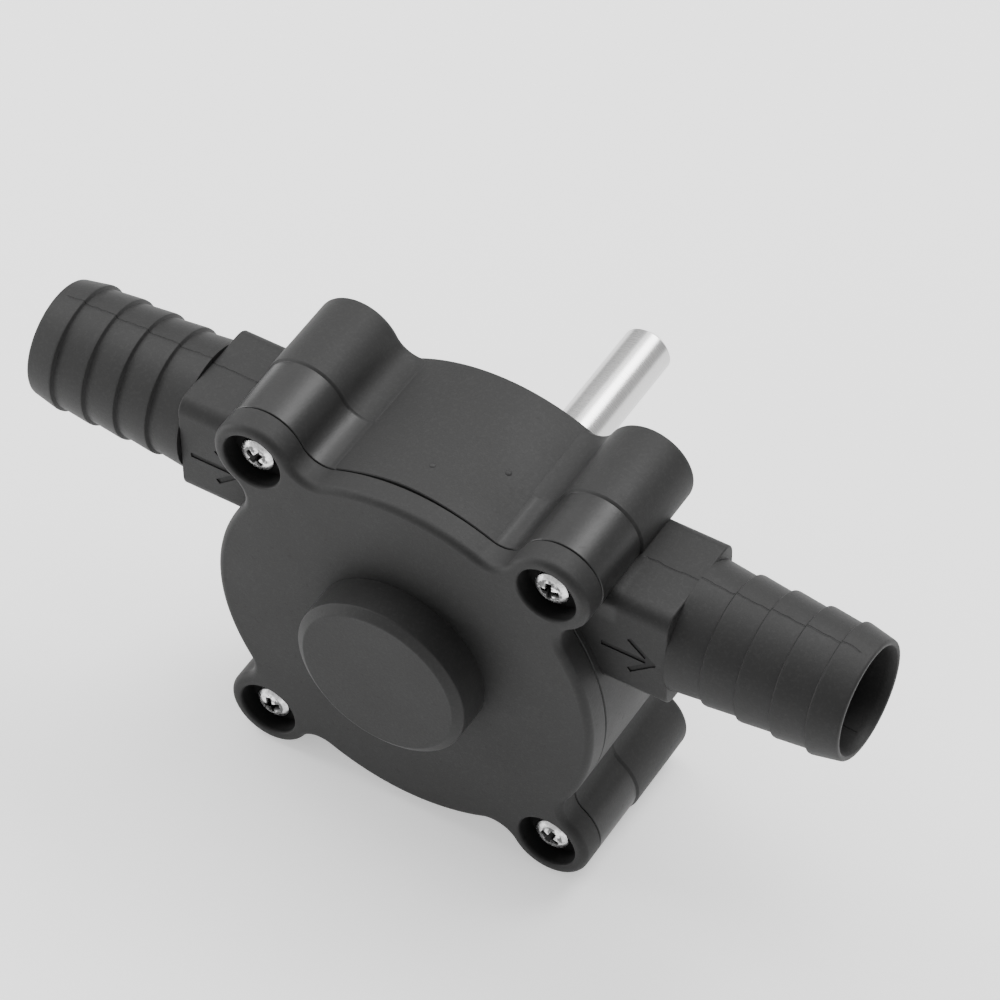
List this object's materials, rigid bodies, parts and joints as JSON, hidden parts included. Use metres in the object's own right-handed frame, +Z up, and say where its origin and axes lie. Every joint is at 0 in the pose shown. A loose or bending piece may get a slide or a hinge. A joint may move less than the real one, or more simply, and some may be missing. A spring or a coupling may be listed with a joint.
{
  "type": "drill powered pump",
  "caption": "Self-priming flexible-impeller transfer pump with two barbed hose ports, turned by a drill through a round steel shank.",
  "frame": {"origin": "on the shaft axis, where the free round shank starts, 2 mm behind the rear hub", "axes": "+X along the hose ports towards the outlet, +Y along the shank towards the drill, +Z up"},
  "size_m": [0.1338, 0.0764, 0.068],
  "materials": {
    "body_plastic": "moulded matte black plastic with a fine grain",
    "cover_plastic": "moulded matte black plastic, a little smoother than the body",
    "o_ring_rubber": "smooth black nitrile",
    "zinc_screw": "bright zinc plating",
    "shaft_steel": "turned and ground bright steel",
    "pin_steel": "ground steel",
    "sleeve_brass": "turned brass",
    "impeller_rubber": "black neoprene",
    "spacer_steel": "turned steel",
    "race_steel": "ground bearing steel",
    "ball_steel": "polished bearing steel",
    "cage_steel": "pressed and yellow plated steel",
    "shield_rubber": "black rubber-coated shield",
    "seal_case_steel": "pressed steel",
    "seal_rubber": "brown nitrile",
    "spring_steel": "bright spring wire",
    "circlip_steel": "phosphated spring steel"
  },
  "bodies": {
    "pump_body": {"pump_housing": "body_plastic", "front_cover": "cover_plastic", "cover_o_ring": "o_ring_rubber", "cover_screws": "zinc_screw", "front_bearing_outer_race": "race_steel", "front_bearing_shields": "shield_rubber", "rear_bearing_outer_race": "race_steel", "rear_bearing_shields": "shield_rubber", "shaft_seal_case": "seal_case_steel", "shaft_seal_lip": "seal_rubber", "shaft_seal_spring": "spring_steel", "hub_circlip": "circlip_steel"},
    "rotor": {"drive_shaft": "shaft_steel", "drive_pin": "pin_steel", "impeller_sleeve": "sleeve_brass", "impeller": "impeller_rubber", "shaft_spacer": "spacer_steel", "front_bearing_inner_race": "race_steel", "rear_bearing_inner_race": "race_steel", "shaft_circlip": "circlip_steel"},
    "front_ball_set": {"front_bearing_balls": "ball_steel", "front_bearing_cage": "cage_steel"},
    "rear_ball_set": {"rear_bearing_balls": "ball_steel", "rear_bearing_cage": "cage_steel"}
  },
  "joints": [
    {"name": "shaft_spin", "type": "hinge", "parent": "pump_body", "child": "rotor", "pos_m": [0, 0, 0], "axis": [0, -1, 0], "continuous": true, "deforming": ["impeller"]},
    {"name": "front_cage_spin", "type": "hinge", "parent": "pump_body", "child": "front_ball_set", "pos_m": [0, -0.0429, 0], "axis": [0, -1, 0], "continuous": true},
    {"name": "rear_cage_spin", "type": "hinge", "parent": "pump_body", "child": "rear_ball_set", "pos_m": [0, -0.0076, 0], "axis": [0, -1, 0], "continuous": true}
  ],
  "couplings": [
    {"joint": "front_cage_spin", "follows": "shaft_spin", "ratio": 0.3677},
    {"joint": "rear_cage_spin", "follows": "shaft_spin", "ratio": 0.3677}
  ]
}
